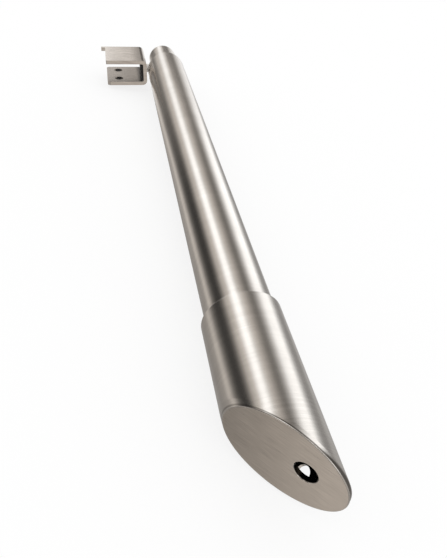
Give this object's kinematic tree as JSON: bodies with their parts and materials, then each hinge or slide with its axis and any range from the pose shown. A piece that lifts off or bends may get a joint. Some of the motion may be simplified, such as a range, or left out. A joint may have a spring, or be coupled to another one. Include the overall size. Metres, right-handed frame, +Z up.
{
  "type": "glass stabilizer arm",
  "caption": "Telescoping stainless tube arm on a slanted wall plate, with a turning folded U clamp that steadies a sheet of glass.",
  "frame": {"origin": "where the arm's axis leaves the outer face of the foot plate", "axes": "+X along the arm from the wall to the clamp, +Y towards the slanted foot's short side, on which the clamp opens, +Z up"},
  "size_m": [0.5519, 0.0983, 0.0493],
  "materials": {
    "foot_stainless": "dull satin stainless steel, grained along the oval",
    "sleeve_stainless": "satin stainless steel, grained round the tube",
    "tube_stainless": "satin stainless steel, grained round the tube",
    "spigot_stainless": "turned stainless steel",
    "clamp_stainless": "satin stainless steel sheet, grained across the jaws",
    "stainless_fastener": "plain stainless steel",
    "nylon": "natural nylon",
    "glass_rubber": "matt black rubber",
    "soft_tip": "black nylon"
  },
  "bodies": {
    "base": {"foot_plate": "foot_stainless", "sleeve": "sleeve_stainless", "glide_ring": "nylon"},
    "lock": {"lock_screw": "stainless_fastener"},
    "carriage": {"guide_ring": "nylon"},
    "arm": {"inner_tube": "tube_stainless", "end_spigot": "spigot_stainless", "spigot_screw": "stainless_fastener", "pivot_collar": "stainless_fastener"},
    "clamp": {"clamp_channel": "clamp_stainless", "pivot_pin": "stainless_fastener", "pivot_washer": "stainless_fastener", "pivot_disc_spring": "stainless_fastener", "pivot_nut": "stainless_fastener", "glass_pad": "glass_rubber", "edge_pad": "glass_rubber"},
    "grip_front": {"glass_screw_front": "stainless_fastener", "screw_tip_front": "soft_tip"},
    "grip_rear": {"glass_screw_rear": "stainless_fastener", "screw_tip_rear": "soft_tip"}
  },
  "joints": [
    {"name": "tube_slide", "type": "slide", "parent": "base", "child": "carriage", "axis": [1, 0, 0], "range_m": [-0.01, 0.015]},
    {"name": "tube_swivel", "type": "hinge", "parent": "carriage", "child": "arm", "pos_m": [0.3, 0, 0], "axis": [1, 0, 0], "continuous": true},
    {"name": "clamp_pivot", "type": "hinge", "parent": "arm", "child": "clamp", "pos_m": [0.4965, 0, 0], "axis": [0, 0.9934, -0.1149], "continuous": true},
    {"name": "lock_screw_travel", "type": "slide", "parent": "base", "child": "lock", "axis": [0, 0, -1], "range_m": [0, 0.003]},
    {"name": "glass_screw_front_travel", "type": "slide", "parent": "clamp", "child": "grip_front", "axis": [0, 0.1149, 0.9934], "range_m": [0, 0.004]},
    {"name": "glass_screw_rear_travel", "type": "slide", "parent": "clamp", "child": "grip_rear", "axis": [0, 0.1149, 0.9934], "range_m": [0, 0.004]}
  ]
}
